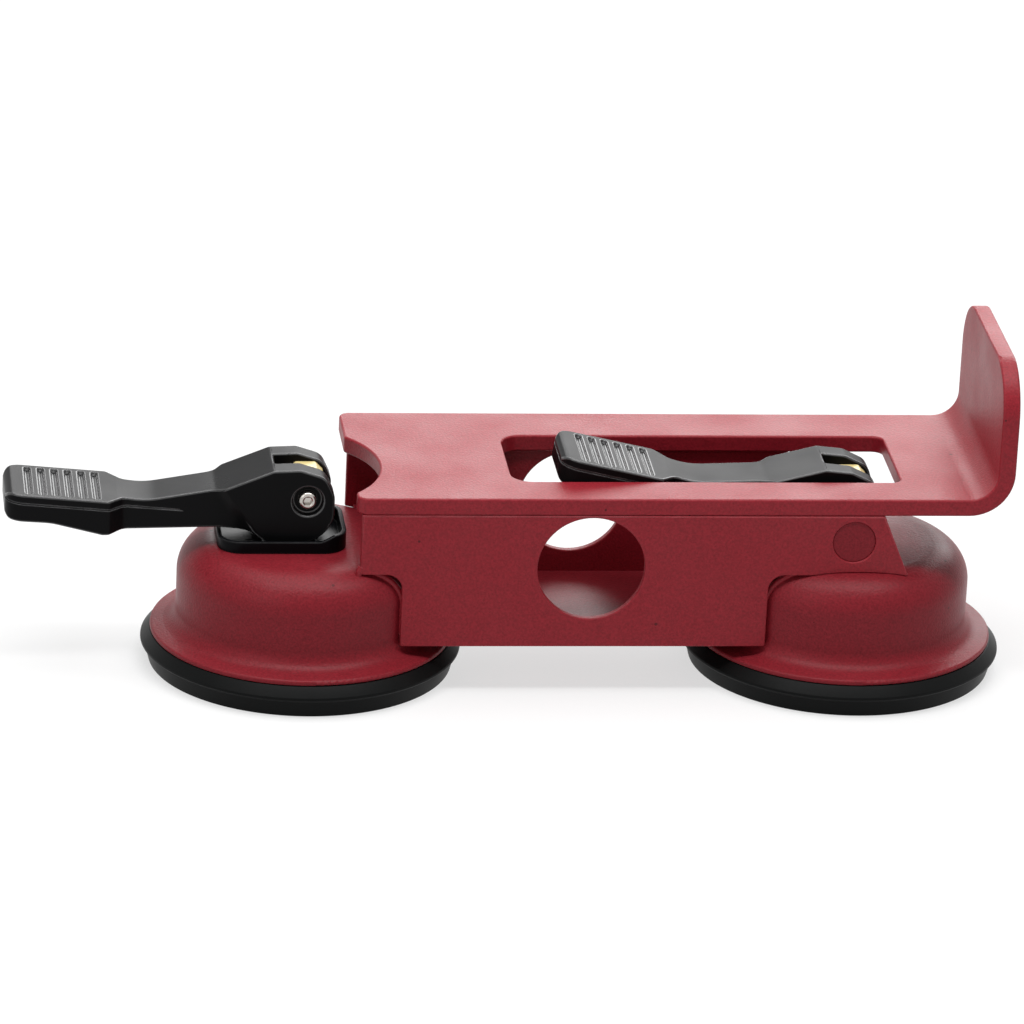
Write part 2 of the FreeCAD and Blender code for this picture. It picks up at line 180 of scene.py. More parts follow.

# %% [markdown]
# Edges are painted pale as a highlight, the thin bright line that a lit edge shows. The Bevel node looks at
# the surface within a small radius and gives a rounded normal. Where that turns away from the plain normal
# there is an edge, and only there does the mask rise. Slow noise breaks it up, so the painted highlight is
# uneven along each edge.

# %% Painted edge highlight
SAME, TURNED_AWAY = 0.995, 0.90    # the two normals' dot product off an edge and on it
HIGHLIGHT_PATCH, HIGHLIGHT_FROM, HIGHLIGHT_TO, LEAST_HIGHLIGHT = 120.0, 0.25, 0.6, 0.35
# painted highlight: a pale colour laid on every edge, standing in for the light that an edge catches
painted_highlight, painted_highlight_in, painted_highlight_out = group_with("RubbedEdges", {"Width": 0.0006, "Amount": 0.5}, ["Mask"])
softened = add_node(painted_highlight, "ShaderNodeBevel", {"samples": 6}, Radius=painted_highlight_in.outputs["Width"])
plain = add_node(painted_highlight, "ShaderNodeNewGeometry").outputs["Normal"]
agreement = add_node(painted_highlight, "ShaderNodeVectorMath", {"operation": "DOT_PRODUCT"},
                     i0=softened.outputs["Normal"], i1=plain).outputs["Value"]
edge = ramp(painted_highlight, agreement, SAME, TURNED_AWAY)
broken = ramp(painted_highlight, object_noise(painted_highlight, HIGHLIGHT_PATCH, Detail=3.0), HIGHLIGHT_FROM, HIGHLIGHT_TO, To_Min=LEAST_HIGHLIGHT)
edge_highlight = calculate(painted_highlight, "MULTIPLY", edge, broken)
painted_highlight.links.new(calculate(painted_highlight, "MULTIPLY", edge_highlight, painted_highlight_in.outputs["Amount"]), painted_highlight_out.inputs["Mask"])
print("rubbed edge group with", len(painted_highlight.nodes), "nodes")

# %% [markdown]
# ## Finishes
# Each finish is one Principled shader. The grain goes through a Bump node, the mottle moves the roughness
# a little, and grain, specks, a painted edge highlight and dust change the colour, each laid over the one
# before by its mask.
# What is the same all over stays on the shader itself.

# %% The finish builder
SPECK_COLOUR = (0.11, 0.006, 0.010)
DUST_COLOUR, DUST_ROUGHNESS = (0.42, 0.40, 0.38), 0.4
NOISE_LOW, NOISE_HIGH = 0.3, 0.7    # noise hardly ever leaves this range


def place_group(tree, group, **values):
    """The group as a node of a material, with this material's own values."""
    return add_node(tree, "ShaderNodeGroup", {"node_tree": group}, **values)


def lay_over(tree, mask, below, above):
    """Mixes two colours, each a socket or three numbers, by a mask."""
    below, above = (colour if isinstance(colour, bpy.types.NodeSocket) else (*colour, 1.0)
                    for colour in (below, above))
    return add_node(tree, "ShaderNodeMix", {"data_type": "RGBA"}, i0=mask, i6=below, i7=above).outputs[2]


def finish(name, colour, roughness, grain_size, grain_depth, metallic=0.0, uneven=0.1, dusty=0.0, specked=0.0,
           specular=0.5, mottled=0.0, edge_highlight=0.0, edge_highlight_colour=(0.5, 0.5, 0.5)):
    """A material whose grain is so many cells per metre and so many metres deep."""
    material = bpy.data.materials.new(name)
    material.use_nodes = True
    tree = material.node_tree
    shader = tree.nodes["Principled BSDF"]
    shader.inputs["Metallic"].default_value = metallic
    shader.inputs["Specular IOR Level"].default_value = specular
    texture = place_group(tree, grain, Size=grain_size).outputs
    bump = add_node(tree, "ShaderNodeBump", Height=texture["Height"], Distance=grain_depth, Strength=1.0)
    tree.links.new(bump.outputs["Normal"], shader.inputs["Normal"])
    rough = ramp(tree, texture["Mottle"], NOISE_LOW, NOISE_HIGH, To_Min=roughness - uneven / 2,
                 To_Max=roughness + uneven / 2)
    shade = colour
    if mottled:
        grains = ramp(tree, texture["Height"], NOISE_LOW, NOISE_HIGH)
        dark, light = ([part * (1 + change) for part in colour] for change in (-mottled, mottled))
        shade = lay_over(tree, grains, dark, light)
    if specked:
        shade = lay_over(tree, place_group(tree, specks, Share=specked).outputs["Mask"], shade, SPECK_COLOUR)
    # a pale colour painted along the edges as a highlight
    if edge_highlight:
        shade = lay_over(tree, place_group(tree, painted_highlight, Amount=edge_highlight).outputs["Mask"], shade, edge_highlight_colour)
    if dusty:
        mask = place_group(tree, dust, Amount=dusty).outputs["Mask"]
        shade = lay_over(tree, mask, shade, DUST_COLOUR)
        rough = calculate(tree, "ADD", rough, calculate(tree, "MULTIPLY", mask, DUST_ROUGHNESS))
    tree.links.new(rough, shader.inputs["Roughness"])
    if isinstance(shade, bpy.types.NodeSocket):
        tree.links.new(shade, shader.inputs["Base Color"])
    else:
        shader.inputs["Base Color"].default_value = (*colour, 1.0)
    return material


# %% [markdown]
# The plates and cups are red powder coat, an orange-peel grain 0.13 mm deep. The levers are semi-gloss
# plastic and the trays a glossier one. The specular levels are low because the white room, which the
# camera sees in every reflection, would make black plastic grey. On the coat, the levers and the trays a
# paler colour is painted along the edges as a highlight. The faces that the Bevel modifier makes on a lever
# get a second black,
# lighter and shinier: the lamps shine in it, and its lighter colour paints more of the edge highlight in.

# %% The finishes of this tool
finishes = {
    # the coat, the lever plastic and the tray plastic each have a pale highlight painted along their edges
    "red_coat": finish("RedPowderCoat", (0.30, 0.0145, 0.025), 0.42, 1200.0, 0.00013, dusty=0.02,
                       specked=0.07, specular=0.25, mottled=0.2, edge_highlight=0.5, edge_highlight_colour=(0.62, 0.17, 0.19)),
    "black_plastic": finish("BlackLeverPlastic", (0.006, 0.006, 0.0065), 0.31, 1600.0, 0.000008, dusty=0.002,
                            specular=0.05, edge_highlight=0.9, edge_highlight_colour=(0.22, 0.22, 0.225)),
    "tray_plastic": finish("GlossyTrayPlastic", (0.004, 0.004, 0.005), 0.24, 300.0, 0.000006, uneven=0.04,
                           specular=0.05, edge_highlight=0.9, edge_highlight_colour=(0.18, 0.18, 0.185)),
    "black_rubber": finish("SatinRubber", (0.003, 0.0034, 0.0034), 0.42, 1200.0, 0.000015, dusty=0.008,
                           specular=0.08),
    "yellow_plastic": finish("PaleYellowPlastic", (0.84, 0.68, 0.30), 0.35, 900.0, 0.000006),
    "bush_plastic": finish("NaturalNylon", (0.72, 0.70, 0.63), 0.4, 900.0, 0.000006),
    "bright_steel": finish("BrightSteel", (0.46, 0.43, 0.40), 0.2, 700.0, 0.000008, metallic=1.0),
    "spring_steel": finish("OiledSpringSteel", (0.36, 0.36, 0.38), 0.32, 500.0, 0.00001, metallic=1.0),
}
slot_of = {entry["node"]: entry["material_slot"] for entry in frame["record"]["subparts"]}
for name, node in frame["nodes"].items():
    node.data.materials.clear()
    node.data.materials.append(finishes[slot_of[name]])
# the deep drawn cups, the web and the plug take a darker, duller copy of the plates' red coat, with less
# sheen; its darker colour is painted shade
shaded_red_coat = finish("ShadedRedCoat", (0.235, 0.0155, 0.024), 0.4, 1200.0, 0.00013, dusty=0.01, specked=0.04,
                  specular=0.15, mottled=0.2)
for side in SIDES:
    frame["nodes"][side + "_cup_housing"].data.materials[0] = shaded_red_coat
# a lighter, shinier copy of the lever black for its bevel faces: its shine reflects the lamps, and its
# lighter colour is a painted edge highlight
lever_edge_shine = finish("LeverEdgeShine", (0.02, 0.02, 0.021), 0.24, 1600.0, 0.000004, specular=0.6)
print("finishes", sorted(finishes))

# %% [markdown]
# ## Rounded edges
# Cut plate and moulded plastic never have knife edges, and it is the thin bright line along each edge
# that tells the eye so. They could be rounded in the CAD, at the price of a heavier model for everyone who
# uses it. Here a copy of the solid has its doubled points merged, and a Bevel modifier rounds every edge
# that is sharper than a set angle. The CAD solid itself is left alone.

# %% The rounding helper
MERGE_DISTANCE = 0.001 * MM
ROUNDED = "rounded edges"


def body_of(node):
    """The name of the body that carries a CAD node."""
    return frame["nodes"][node]["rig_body"]


def stand_in(piece, node):
    """The piece takes the CAD node's place, finish and motion."""
    piece.data.materials.clear()
    piece.data.materials.append(finishes[slot_of[node]])
    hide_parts(node)
    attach(piece, body_of(node))
    return piece


def new_piece(name, mesh):
    """An object for the mesh, at the origin."""
    piece = bpy.data.objects.new(name, mesh)
    bpy.context.scene.collection.objects.link(piece)
    return piece


def merged_copy(node, name):
    """A copy of a CAD node's mesh, whose loose triangles are joined at their corners."""
    mesh = frame["nodes"][node].data.copy()
    custom = mesh.attributes.get("custom_normal")
    if custom:
        mesh.attributes.remove(custom)
    shape = bmesh.new()
    shape.from_mesh(mesh)
    bmesh.ops.remove_doubles(shape, verts=shape.verts, dist=MERGE_DISTANCE)
    shape.to_mesh(mesh)
    shape.free()
    mesh.shade_smooth()
    return new_piece(name, mesh)


def rounded(node, name, radius, sharper_than=32.0, weighted=False):
    """A copy of the node with its sharp edges rounded, or only its marked edges when weighted."""
    piece = merged_copy(node, name)
    bevel = piece.modifiers.new(ROUNDED, "BEVEL")
    bevel.width = radius
    bevel.segments = 3
    bevel.limit_method = "WEIGHT" if weighted else "ANGLE"
    bevel.angle_limit = math.radians(sharper_than)
    bevel.use_clamp_overlap = False
    bevel.loop_slide = False
    bevel.harden_normals = True
    return stand_in(piece, node)


# %% [markdown]
# The two halves of the lever's mould meet in a line that runs round the pad and along the neck. It is cut
# here as a fine groove: four close planes slice the mesh, and the points of the inner two move inwards.
# A dark line in the material would be simpler, but it wouldn't catch the light as a real groove does. The
# edges to be rounded are marked before that, so the Bevel modifier leaves the groove sharp.

# %% The parting line of a lever
# all in mm, seen from the hinge with the lever level: the line meets the tip there, then falls slowly
LINE_START, LINE_SLOPE = (-112.0, 0.0, 0.4), 0.08
GROOVE_RIMS, GROOVE_FLOOR, GROOVE_DEPTH = 0.34, 0.13, 0.42
GROOVE_FADES_FROM, GROOVE_ENDS = -57.0, -47.0
ON_PLANE = 1e-7    # a point this near a cutting plane, in metres, counts as on it


def mark_edges(shape, sharper_than):
    """Gives full bevel weight to each edge that is sharper than so many degrees."""
    weights = shape.edges.layers.float.new("bevel_weight_edge")
    for edge in shape.edges:
        if len(edge.link_faces) == 2 and edge.calc_face_angle(0.0) > math.radians(sharper_than):
            edge[weights] = 1.0


def cut_parting_line(shape, pivot, raised):
    """Cuts the groove into a lever that is raised by so many radians, and counts its floor points."""
    turn = Matrix.Rotation(raised, 3, "Y")
    start = Vector(LINE_START) * MM
    normal = Vector((LINE_SLOPE, 0.0, 1.0)).normalized()
    across = turn @ normal
    groove = []
    for offset in (-GROOVE_RIMS, -GROOVE_FLOOR, GROOVE_FLOOR, GROOVE_RIMS):
        cut = bmesh.ops.bisect_plane(shape, geom=shape.verts[:] + shape.edges[:] + shape.faces[:],
                                     dist=ON_PLANE, plane_co=pivot + turn @ (start + normal * offset * MM),
                                     plane_no=across)["geom_cut"]
        if abs(offset) == GROOVE_FLOOR:
            groove += [item for item in cut if isinstance(item, bmesh.types.BMVert)]
    shape.normal_update()
    moves = []
    for point in groove:
        along = (turn.inverted() @ (point.co - pivot)).x / MM
        share = min(1.0, max(0.0, (GROOVE_ENDS - along) / (GROOVE_ENDS - GROOVE_FADES_FROM)))
        outwards = point.normal - across * point.normal.dot(across)
        moves.append((point, outwards.normalized() * -GROOVE_DEPTH * MM * share))
    for point, move in moves:
        point.co += move
    return len(groove)


# %% Round the plates, the levers and the trays
# each CAD node with the name of its rounded piece and the radius in mm
plates = {"top_plate": ("coated_top_plate", 0.9), "front_side_plate": ("coated_front_plate", 0.5),
          "rear_side_plate": ("coated_rear_plate", 0.5), "bottom_web": ("coated_web", 0.5),
          "access_plug": ("coated_plug", 0.3)}
lever_radius, tray_radius, yoke_radius = 0.7 * MM, 0.4 * MM, 0.3 * MM
lever_crease = math.radians(40)    # edges sharper than this stay hard in the shading
for node, (name, radius) in plates.items():
    rounded(node, name, radius * MM)
# the web and the plug take the darker copy of the coat too, painted shade
for piece in ("coated_plug", "coated_web"):
    bpy.data.objects[piece].data.materials[0] = shaded_red_coat
for side in SIDES:
    lever = rounded(side + "_lever", side + "_lever_moulding", lever_radius, weighted=True)
    # the faces the bevel makes take the lighter, shinier black, partly a painted edge highlight
    lever.data.materials.append(lever_edge_shine)
    lever.modifiers[ROUNDED].material = 1
    shape = bmesh.new()
    shape.from_mesh(lever.data)
    mark_edges(shape, sharper_than=25.0)
    raised = -math.radians(min(hinges[side + "_lever_arm"]["range_deg"]))
    print(side, "parting line through", cut_parting_line(shape, pivots[side], raised), "points, raised by",
          round(math.degrees(raised), 2))
    shape.to_mesh(lever.data)
    shape.free()
    lever.data.set_sharp_from_angle(angle=lever_crease)
    rounded(side + "_lever_tray", side + "_tray_moulding", tray_radius)
    rounded(side + "_yoke", side + "_yoke_block", yoke_radius)

# %% [markdown]
# ## Pivot bolts
# A button head catches the light in a ring around its dark hexagon socket. The CAD's head is a plain
# cylinder, and a Bevel modifier can't turn that into a dome. So the bolt is a stack of rings along its
# axis: most rings are round, and those of the socket follow a hexagon. The nut only needs its edges broken.

# %% The ring stack
BOLT_CREASE = math.radians(38)


def hexagon_radius(flats, turn):
    """How far the rim of a hexagon is from its middle, in the direction of the turn."""
    return flats / 2 / math.cos(turn % (math.pi / 3) - math.pi / 6)


def ring_stack(name, rings, at, steps=96):
    """Skins (y, radius, flats) rings about a line along y. Flats of 0 make a round ring."""
    shape = bmesh.new()
    loops = []
    for y, radius, flats in rings:
        if radius == 0:
            loops.append([shape.verts.new((0, y, 0))])
            continue
        turns = [math.tau * step / steps for step in range(steps)]
        radii = [hexagon_radius(flats, turn) if flats else radius for turn in turns]
        loops.append([shape.verts.new((reach * math.cos(turn), y, reach * math.sin(turn)))
                      for reach, turn in zip(radii, turns)])
    for one, two in zip(loops, loops[1:]):
        for step in range(steps):
            corners = [one[step % len(one)], one[(step + 1) % len(one)],
                       two[(step + 1) % len(two)], two[step % len(two)]]
            shape.faces.new(list(dict.fromkeys(corners)))
    bmesh.ops.recalc_face_normals(shape, faces=shape.faces)
    bmesh.ops.translate(shape, verts=shape.verts, vec=at)
    mesh = bpy.data.meshes.new(name)
    shape.to_mesh(mesh)
    shape.free()
    mesh.shade_smooth()
    mesh.set_sharp_from_angle(angle=BOLT_CREASE)
    return new_piece(name, mesh)


# %% The bolts and nuts
socket_flats, socket_depth, socket_mouth = 3 * MM, 1.8 * MM, 0.3 * MM
shank_radius, tip_chamfer, nut_edge = 3.0 * MM, 0.5 * MM, 0.35 * MM
# the dome of the head as (depth behind its face, radius) in mm, from the socket's rim to the shank
DOME = [(0.05, 1.95), (0.0, 2.1), (0.06, 2.45), (0.24, 2.85), (0.55, 3.2), (0.95, 3.45), (1.5, 3.62),
        (2.1, 3.7), (3.0, 3.7), (3.0, 3.0)]
for side in SIDES:
    bolt_low, bolt_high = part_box(side + "_pivot_bolt")
    head, tip = bolt_low.y, bolt_high.y
    rings = [(head + socket_depth, 0.0, 0), (head + socket_depth, socket_flats / 2, socket_flats),
             (head + socket_mouth, socket_flats / 2, socket_flats)]
    rings += [(head + depth * MM, radius * MM, 0) for depth, radius in DOME]
    rings += [(tip - tip_chamfer, shank_radius, 0), (tip, shank_radius - tip_chamfer, 0), (tip, 0.0, 0)]
    bolt = ring_stack(side + "_button_bolt", rings, (pivots[side].x, 0, pivots[side].z))
    stand_in(bolt, side + "_pivot_bolt")
    rounded(side + "_pivot_nut", side + "_hexagon_nut", nut_edge)
    print(side, "bolt", len(bolt.data.vertices), "points, length in mm", round((tip - head) / MM, 2))

# %% [markdown]
# ## Rubber pads
# The rim of the pad stays on the floor while the membrane in its middle is drawn up with the insert. So
# the pad is two turned pieces: the rim rides on the frame, and the membrane reaches from inside the collar
# to the insert. A Screw modifier could turn them too, but bmesh's spin lets the seam and the poles be
# merged at once.

# %% A turned piece from its profile
TURNED_CREASE = math.radians(40)
ARC_SHARE = 0.45    # how much of each edge beside a corner its arc may use


def turned(name, profile, x, steps=128):
    """Turns (radius, height) points about a cup's axis. Points at radius 0 close the ends."""
    shape = bmesh.new()
    points = [shape.verts.new((radius, 0.0, height)) for radius, height in profile]
    edges = [shape.edges.new((points[i - 1], points[i])) for i in range(1, len(points))]
    if profile[0][0] > 0:
        edges.append(shape.edges.new((points[-1], points[0])))
    bmesh.ops.spin(shape, geom=points + edges, cent=(0, 0, 0), axis=(0, 0, 1), angle=math.tau, steps=steps,
                   use_merge=True, use_duplicate=False)
    bmesh.ops.remove_doubles(shape, verts=shape.verts, dist=MERGE_DISTANCE)
    bmesh.ops.recalc_face_normals(shape, faces=shape.faces)
    bmesh.ops.translate(shape, verts=shape.verts, vec=(x, 0, 0))
    mesh = bpy.data.meshes.new(name)
    shape.to_mesh(mesh)
    shape.free()
    mesh.shade_smooth()
    mesh.set_sharp_from_angle(angle=TURNED_CREASE)
    return new_piece(name, mesh)


def soft_corners(corners, radius, steps=4):
    """Rounds the corners of a profile, except its ends, with short arcs."""
    result = [corners[0]]
    for before, here, after in zip(corners, corners[1:], corners[2:]):
        here = Vector(here)
        into, out = Vector(before) - here, Vector(after) - here
        reach = min(radius / math.tan(into.angle(out) / 2), into.length * ARC_SHARE, out.length * ARC_SHARE)
        start, end = here + into.normalized() * reach, here + out.normalized() * reach
        for step in range(steps + 1):
            share = step / steps
            result.append(tuple(start * (1 - share) ** 2 + here * 2 * share * (1 - share) + end * share ** 2))
    return result + [corners[-1]]


# %% The rims and the membranes
rest_gap, membrane = 0.5 * MM, 3.0 * MM
collar_inset, collar_wall, collar_start = 15.6 * MM, 3.2 * MM, 2 * MM
lip_width, edge_gap, corner_radius = 10 * MM, 0.1 * MM, 0.5 * MM
skirt_inset, membrane_gap, still_height = 3.3 * MM, 1.0 * MM, -1.0 * MM
# the outer edge as (distance in from the pad's radius in mm, share of the housing's height over the floor)
BEADED_EDGE = [(3.2, 0.0), (1.6, 0.52), (0.9, 0.58), (0.0, 0.62), (0.1, 0.7)]
steps = 24
for side in SIDES:
    pad_low, pad_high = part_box(side + "_rubber_pad")
    insert_low, insert_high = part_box(side + "_pad_insert")
    outer = (pad_high.x - pad_low.x) / 2
    insert_radius = (insert_high.x - insert_low.x) / 2
    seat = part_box(side + "_cup_housing")[0].z
    collar = outer - collar_inset
    inside = (collar - collar_wall, pad_high.z - collar_start)
    rim_profile = [inside, (collar - collar_wall, rest_gap), (outer - lip_width, 0.0)]
    rim_profile += [(outer - inset * MM, seat * share) for inset, share in BEADED_EDGE]
    rim_profile += [(outer - skirt_inset, seat - edge_gap), (collar, seat - edge_gap), (collar, pad_high.z),
                    (collar - collar_wall, pad_high.z), inside]
    rim = turned(side + "_pad_rim", soft_corners(rim_profile, corner_radius)[:-1], cup_x[side])
    stand_in(rim, side + "_rubber_pad")

    lift = insert_low.z - membrane - rest_gap
    run = collar - membrane_gap - insert_radius
    under = [(insert_radius + run * i / steps,
              rest_gap + lift * (1 + math.cos(math.pi * i / steps)) / 2) for i in range(steps + 1)]
    over = [(radius, height + membrane) for radius, height in reversed(under)]
    skin = turned(side + "_pad_membrane", [(0.0, rest_gap + lift)] + under + over + [(0.0, insert_low.z)],
                  cup_x[side])
    skin.data.materials.append(finishes["black_rubber"])
    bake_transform(skin)
    print(side, "rim", len(rim.data.vertices), "membrane", len(skin.data.vertices), "points, lift in mm",
          round(lift / MM, 2))

# %% [markdown]
# ## Release springs
# A compression spring is round wire on a helix whose last turns lie flat. Geometry Nodes bend a straight
# line into that helix: the turn grows evenly along the line, and the height only between the flat ends.
# A Screw modifier makes a coil too, but without the flat ends. The coil fills the height of the
# CAD spring.

# %% The spring tree
def geometry_tree(name, numbers):
    """A Geometry Nodes tree with number inputs and a material input."""
    tree = bpy.data.node_groups.new(name, "GeometryNodeTree")
    tree.interface.new_socket("Geometry", in_out="INPUT", socket_type="NodeSocketGeometry")
    for label, value in numbers.items():
        tree.interface.new_socket(label, in_out="INPUT", socket_type="NodeSocketFloat").default_value = value
    tree.interface.new_socket("Material", in_out="INPUT", socket_type="NodeSocketMaterial")
    tree.interface.new_socket("Geometry", in_out="OUTPUT", socket_type="NodeSocketGeometry")
    return tree, tree.nodes.new("NodeGroupInput").outputs, tree.nodes.new("NodeGroupOutput")


def end_tree(tree, source, out, geometry):
    """Every tree ends by making its instances real and giving them their material."""
    real = add_node(tree, "GeometryNodeRealizeInstances", Geometry=geometry).outputs[0]
    dressed = add_node(tree, "GeometryNodeSetMaterial", Geometry=real, Material=source["Material"])
    tree.links.new(dressed.outputs[0], out.inputs[0])


springs, source, out = geometry_tree("RoundWireSpring", {
    "Turns": 5.0, "Flat Turns": 0.8, "Mean Radius": 12 * MM, "Wire Radius": 1.1 * MM, "Low": 0.0,
    "High": 0.03})
points_along, points_round = 240, 12
line = add_node(springs, "GeometryNodeCurvePrimitiveLine").outputs["Curve"]
line = add_node(springs, "GeometryNodeResampleCurve", Curve=line, Count=points_along).outputs[0]
along = add_node(springs, "GeometryNodeSplineParameter").outputs["Factor"]
turn = calculate(springs, "MULTIPLY", calculate(springs, "MULTIPLY", along, source["Turns"]), math.tau)
flat = calculate(springs, "DIVIDE", source["Flat Turns"], source["Turns"])
low = calculate(springs, "ADD", source["Low"], source["Wire Radius"])
high = calculate(springs, "SUBTRACT", source["High"], source["Wire Radius"])
height = add_node(springs, "ShaderNodeMapRange", {"interpolation_type": "SMOOTHSTEP"}, Value=along,
                  From_Min=flat, From_Max=calculate(springs, "SUBTRACT", 1.0, flat), To_Min=low, To_Max=high)
helix = add_node(springs, "ShaderNodeCombineXYZ",
                 X=calculate(springs, "MULTIPLY", calculate(springs, "COSINE", turn), source["Mean Radius"]),
                 Y=calculate(springs, "MULTIPLY", calculate(springs, "SINE", turn), source["Mean Radius"]),
                 Z=height.outputs["Result"]).outputs[0]
line = add_node(springs, "GeometryNodeSetPosition", Geometry=line, Position=helix).outputs[0]
wire = add_node(springs, "GeometryNodeCurvePrimitiveCircle", Resolution=points_round,
                Radius=source["Wire Radius"])
coil = add_node(springs, "GeometryNodeCurveToMesh", Curve=line, Profile_Curve=wire.outputs["Curve"],
                Fill_Caps=True)
end_tree(springs, source, out, coil.outputs[0])
print("spring tree with", len(springs.nodes), "nodes")


# %% Make a plain mesh of a tree's result
TREE_CREASE = math.radians(50)


def grown(name, tree, material, at, path=(), **sizes):
    """Runs the tree on a mesh path and keeps the result as a plain mesh, moved to its place."""
    mesh = bpy.data.meshes.new(name + "_path")
    mesh.from_pydata([tuple(point) for point in path], [(i, i + 1) for i in range(len(path) - 1)], [])
    seed = new_piece(name + "_seed", mesh)
    modifier = seed.modifiers.new("grow", "NODES")
    modifier.node_group = tree
    for socket in tree.interface.items_tree:
        label = socket.name.replace(" ", "_").lower()
        if socket.in_out == "INPUT" and label in sizes:
            modifier[socket.identifier] = sizes[label]
        if socket.in_out == "INPUT" and label == "material":
            modifier[socket.identifier] = material
    evaluated = seed.evaluated_get(bpy.context.evaluated_depsgraph_get())
    result = bpy.data.meshes.new_from_object(evaluated)
    bpy.data.objects.remove(seed)
    result.name = name
    result.transform(Matrix.Translation(at))
    result.shade_smooth()
    result.set_sharp_from_angle(angle=TREE_CREASE)
    return new_piece(name, result)


for side in SIDES:
    spring_low, spring_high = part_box(side + "_release_spring")
    coil = grown(side + "_spring_coil", springs, finishes["spring_steel"], (cup_x[side], 0, 0),
                 low=spring_low.z, high=spring_high.z)
    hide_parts(side + "_release_spring")
    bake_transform(coil)
    print(side, "spring", len(coil.data.vertices), "points")

# %% [markdown]
# ## Weld seams
# Each side plate is welded to both cups from inside. A weld bead is a row of overlapping ripples, so the
# tree follows the seam, swells its radius in step with the distance along it, and skins it as a tube. A
# plain tube with a bump in its material would keep a smooth outline. The seam itself is worked out, not
# drawn by hand: it is where the plate's inner face cuts the turned cup.

# %% The bead tree
bead_step, bead_sides = 0.3 * MM, 10
beads, source, out = geometry_tree("WeldBead", {"Bead Radius": 1.3 * MM, "Ripple": 1.6 * MM, "Swell": 0.16})
seam = add_node(beads, "GeometryNodeMeshToCurve", Mesh=source["Geometry"]).outputs[0]
seam = add_node(beads, "GeometryNodeResampleCurve", {"mode": "LENGTH"}, Curve=seam,
                Length=bead_step).outputs[0]
along = add_node(beads, "GeometryNodeSplineParameter").outputs["Length"]
phase = calculate(beads, "MULTIPLY", calculate(beads, "DIVIDE", along, source["Ripple"]), math.pi)
ripple = calculate(beads, "ABSOLUTE", calculate(beads, "SINE", phase))
width = calculate(beads, "ADD", 1.0, calculate(beads, "MULTIPLY", ripple, source["Swell"]))
seam = add_node(beads, "GeometryNodeSetCurveRadius", Curve=seam, Radius=width).outputs[0]
section = add_node(beads, "GeometryNodeCurvePrimitiveCircle", Resolution=bead_sides,
                   Radius=source["Bead Radius"])
tube = add_node(beads, "GeometryNodeCurveToMesh", Curve=seam, Profile_Curve=section.outputs["Curve"],
                Fill_Caps=True)
end_tree(beads, source, out, tube.outputs[0])
print("bead tree with", len(beads.nodes), "nodes")

# %% The seam on a cup
# the radius of the cup's wall and of the shoulder above it, as the CAD source has them
cup_radius, shoulder, top = 47.0 * MM, 14.0 * MM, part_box("left_cup_housing")[1].z
seam_steps = 48


def seam_on_cup(side, y, toward, start_z):
    """Points up the cup's wall and over its shoulder, in a plane across the cup at y."""
    points = []
    for step in range(seam_steps + 1):
        z = start_z + (top - start_z) * step / seam_steps
        drop = max(0.0, z - (top - shoulder))
        radius = cup_radius - shoulder + math.sqrt(max(0.0, shoulder ** 2 - drop ** 2))
        if radius > abs(y):
            points.append((cup_x[side] + toward * math.sqrt(radius ** 2 - y ** 2), y, z))
    return points


# %% Lay the beads along the inner seams
front_low, front_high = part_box("front_side_plate")
rear_low, rear_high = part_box("rear_side_plate")
off_plate, end_margin, start_height, tack_drop = 0.5 * MM, 2 * MM, 4 * MM, 1.4 * MM
seams = (("front", front_low, front_high, front_high.y + off_plate),
         ("rear", rear_low, rear_high, rear_low.y - off_plate))
for label, low, high, inner_y in seams:
    for side, toward in (("left", 1), ("right", -1)):
        path = [point for point in seam_on_cup(side, inner_y, toward, low.z + start_height)
                if low.x + end_margin < point[0] < high.x - end_margin]
        bead = grown(label + "_" + side + "_weld", beads, finishes["red_coat"], (0, 0, 0), path)
        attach(bead, "root")
# a tack at the lower left corner of the front plate, where it meets the left cup
corner = Vector((front_low.x, front_low.y, top - tack_drop))
tack_path = [corner + Vector(step) * MM for step in ((-0.8, 1.0, -1.0), (-0.4, 0.9, 1.2), (0.4, 1.2, 3.0))]
tack = grown("corner_tack", beads, finishes["red_coat"], (0, 0, 0), tack_path)
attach(tack, "root")
print("weld beads on", len(seams) * len(SIDES), "seams and one corner")

# %% [markdown]
# ## Light and floor
# Soft studio light: a large panel overhead, a narrow bright strip above the front that marks the edges,
# a wide panel behind that the upward faces mirror at a low angle, and a weak one at the front left. The
# room and the floor are white to the eye and to reflections, as on a product page, and that comes from
# Light Path in their own materials. What they give to the object is much less, so the colours hold.

# %% The light panels
def panel(name, place, aim, width, depth, radiance):
    """A soft light panel. Its power follows from how bright it looks and its area."""
    light = bpy.data.lights.new(name, "AREA")
    light.shape = "RECTANGLE"
    light.size, light.size_y = width, depth
    light.energy = radiance * math.pi * width * depth
    lamp = bpy.data.objects.new(name, light)
    bpy.context.scene.collection.objects.link(lamp)
    lamp.location = place
    lamp.rotation_euler = (Vector(aim) - Vector(place)).to_track_quat("-Z", "Y").to_euler()
    lamp.visible_camera = False
    return lamp


aim = (0.0, 0.0, 0.05)
# place, width, depth and radiance of each panel
panels = {"overhead_panel": ((0.0, 0.0, 1.5), 1.6, 1.3, 2.7),
          "front_strip": ((0.0, -0.42, 1.35), 1.6, 0.16, 8.0),
          "rear_panel": ((0.55, 1.7, 0.85), 1.6, 0.9, 3.9),
          "front_left_panel": ((-1.5, -1.5, 1.1), 1.2, 1.2, 1.2)}
for name, (place, width, depth, radiance) in panels.items():
    panel(name, place, aim, width, depth, radiance)
print("light panels", sorted(panels))

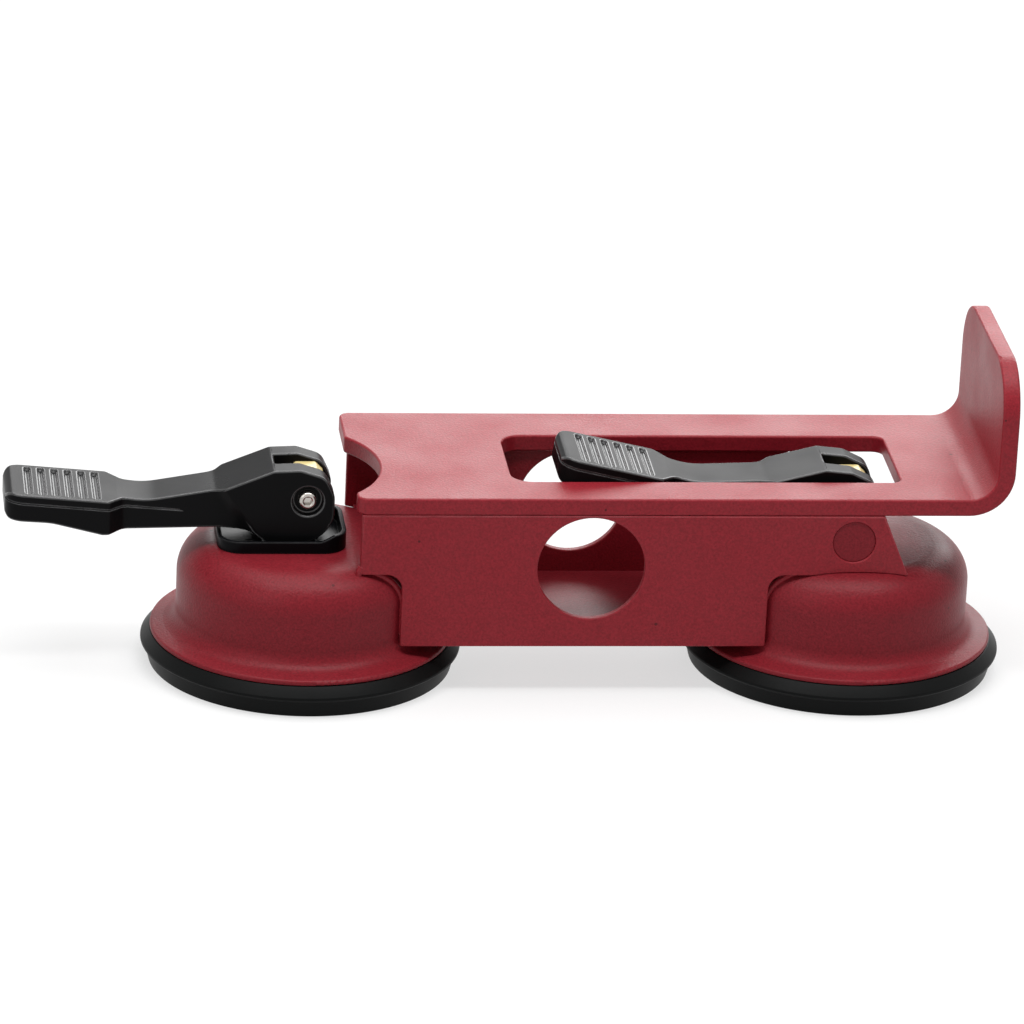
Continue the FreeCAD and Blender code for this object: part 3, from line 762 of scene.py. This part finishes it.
# %% The white room
def seen_by_eye(tree):
    """1 for rays by which the camera sees a surface, straight, in a mirror or through glass."""
    rays = add_node(tree, "ShaderNodeLightPath").outputs
    return calculate(tree, "MAXIMUM", rays["Is Camera Ray"], calculate(
        tree, "MAXIMUM", rays["Is Glossy Ray"], rays["Is Transmission Ray"]))


world = bpy.data.worlds.new("PaleRoom")
bpy.context.scene.world = world
world.use_nodes = True
tree = world.node_tree
seen = seen_by_eye(tree)
room_light = 0.12
strength = add_node(tree, "ShaderNodeMapRange", Value=seen, To_Min=room_light, To_Max=1.0).outputs["Result"]
tree.links.new(strength, tree.nodes["Background"].inputs["Strength"])
tree.nodes["Background"].inputs["Color"].default_value = (1, 1, 1, 1)
print("room lights the object with", room_light)

# %% The pale floor
floor_mesh = bpy.data.meshes.new("pale_floor")
half = 6.0
floor_mesh.from_pydata([(-half, -half, 0), (half, -half, 0), (half, half, 0), (-half, half, 0)], [],
                       [(0, 1, 2, 3)])
floor = new_piece("pale_floor", floor_mesh)
floor.location.z = -0.02 * MM    # just under the pads, so that no two faces share a plane
floor_finish = bpy.data.materials.new("PaleFloor")
floor_finish.use_nodes = True
tree = floor_finish.node_tree
floor_shader = tree.nodes["Principled BSDF"]
seen = seen_by_eye(tree)
floor_glow, floor_lights, floor_shows = 0.64, (0.66, 0.66, 0.66), (0.38, 0.38, 0.38)
tree.links.new(calculate(tree, "MULTIPLY", seen, floor_glow), floor_shader.inputs["Emission Strength"])
floor_shader.inputs["Emission Color"].default_value = (1, 1, 1, 1)
tree.links.new(lay_over(tree, seen, floor_lights, floor_shows), floor_shader.inputs["Base Color"])
floor_shader.inputs["Roughness"].default_value = 0.9
floor_shader.inputs["Specular IOR Level"].default_value = 0.1
floor.data.materials.append(floor_finish)
print("floor", 2 * half, "m wide")

# %% [markdown]
# ## Camera
# A long lens a little to the left of the front, looking down on the tool. Its angles were found by
# matching points of the photograph to the same points of the CAD.

# %% Camera at the photograph's angle
sensor, lens = 36.0, 235.2
yaw, pitch, roll = math.radians(-7.09), math.radians(21.45), math.radians(2.73)
distance, target = 2.5, Vector((1.53 * MM, 0.0, 58.67 * MM))
back = Vector((math.sin(yaw) * math.cos(pitch), -math.cos(yaw) * math.cos(pitch), math.sin(pitch)))
level = (-back).cross(Vector((0, 0, 1))).normalized()
rise = level.cross(-back)
across = level * math.cos(roll) + rise * math.sin(roll)
upright = rise * math.cos(roll) - level * math.sin(roll)
camera_data = bpy.data.cameras.new("photo_camera")
camera_data.sensor_width, camera_data.lens = sensor, lens
camera_data.clip_start, camera_data.clip_end = 0.05, 30.0
camera = bpy.data.objects.new("photo_camera", camera_data)
bpy.context.scene.collection.objects.link(camera)
camera.matrix_world = Matrix.Translation(target + back * distance) @ Matrix(
    (across, upright, back)).transposed().to_4x4()
bpy.context.scene.camera = camera
bpy.context.scene.view_settings.view_transform = "Standard"
print("camera at", [round(part, 3) for part in camera.matrix_world.translation])
